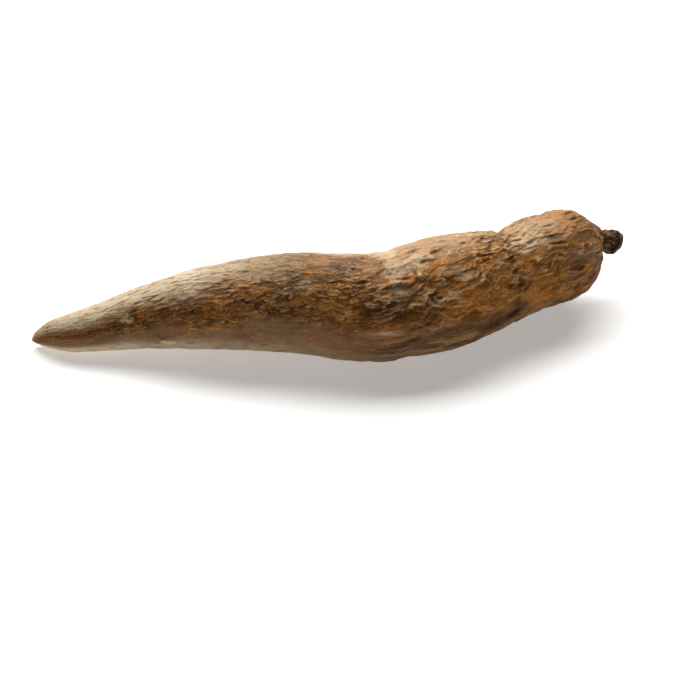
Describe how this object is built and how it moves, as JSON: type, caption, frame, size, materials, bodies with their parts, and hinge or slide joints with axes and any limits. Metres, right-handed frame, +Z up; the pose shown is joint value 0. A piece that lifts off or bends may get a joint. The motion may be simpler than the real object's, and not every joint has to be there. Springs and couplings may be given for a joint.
{
  "type": "cassava root",
  "caption": "Whole cassava root lying on its side: a long tapering tuber with rough papery bark, a pinched neck under a rounded crown, and a short woody stub.",
  "frame": {"origin": "on the surface that the root lies on, under the middle of its bounding box", "axes": "+X along the root from its thin tip to its crown and stub, +Z up, -Y towards the front side"},
  "size_m": [0.3267, 0.1003, 0.0628],
  "materials": {
    "bark": "rough flaky brown bark"
  },
  "bodies": {
    "root": {"cassava_root": "bark"}
  },
  "joints": []
}
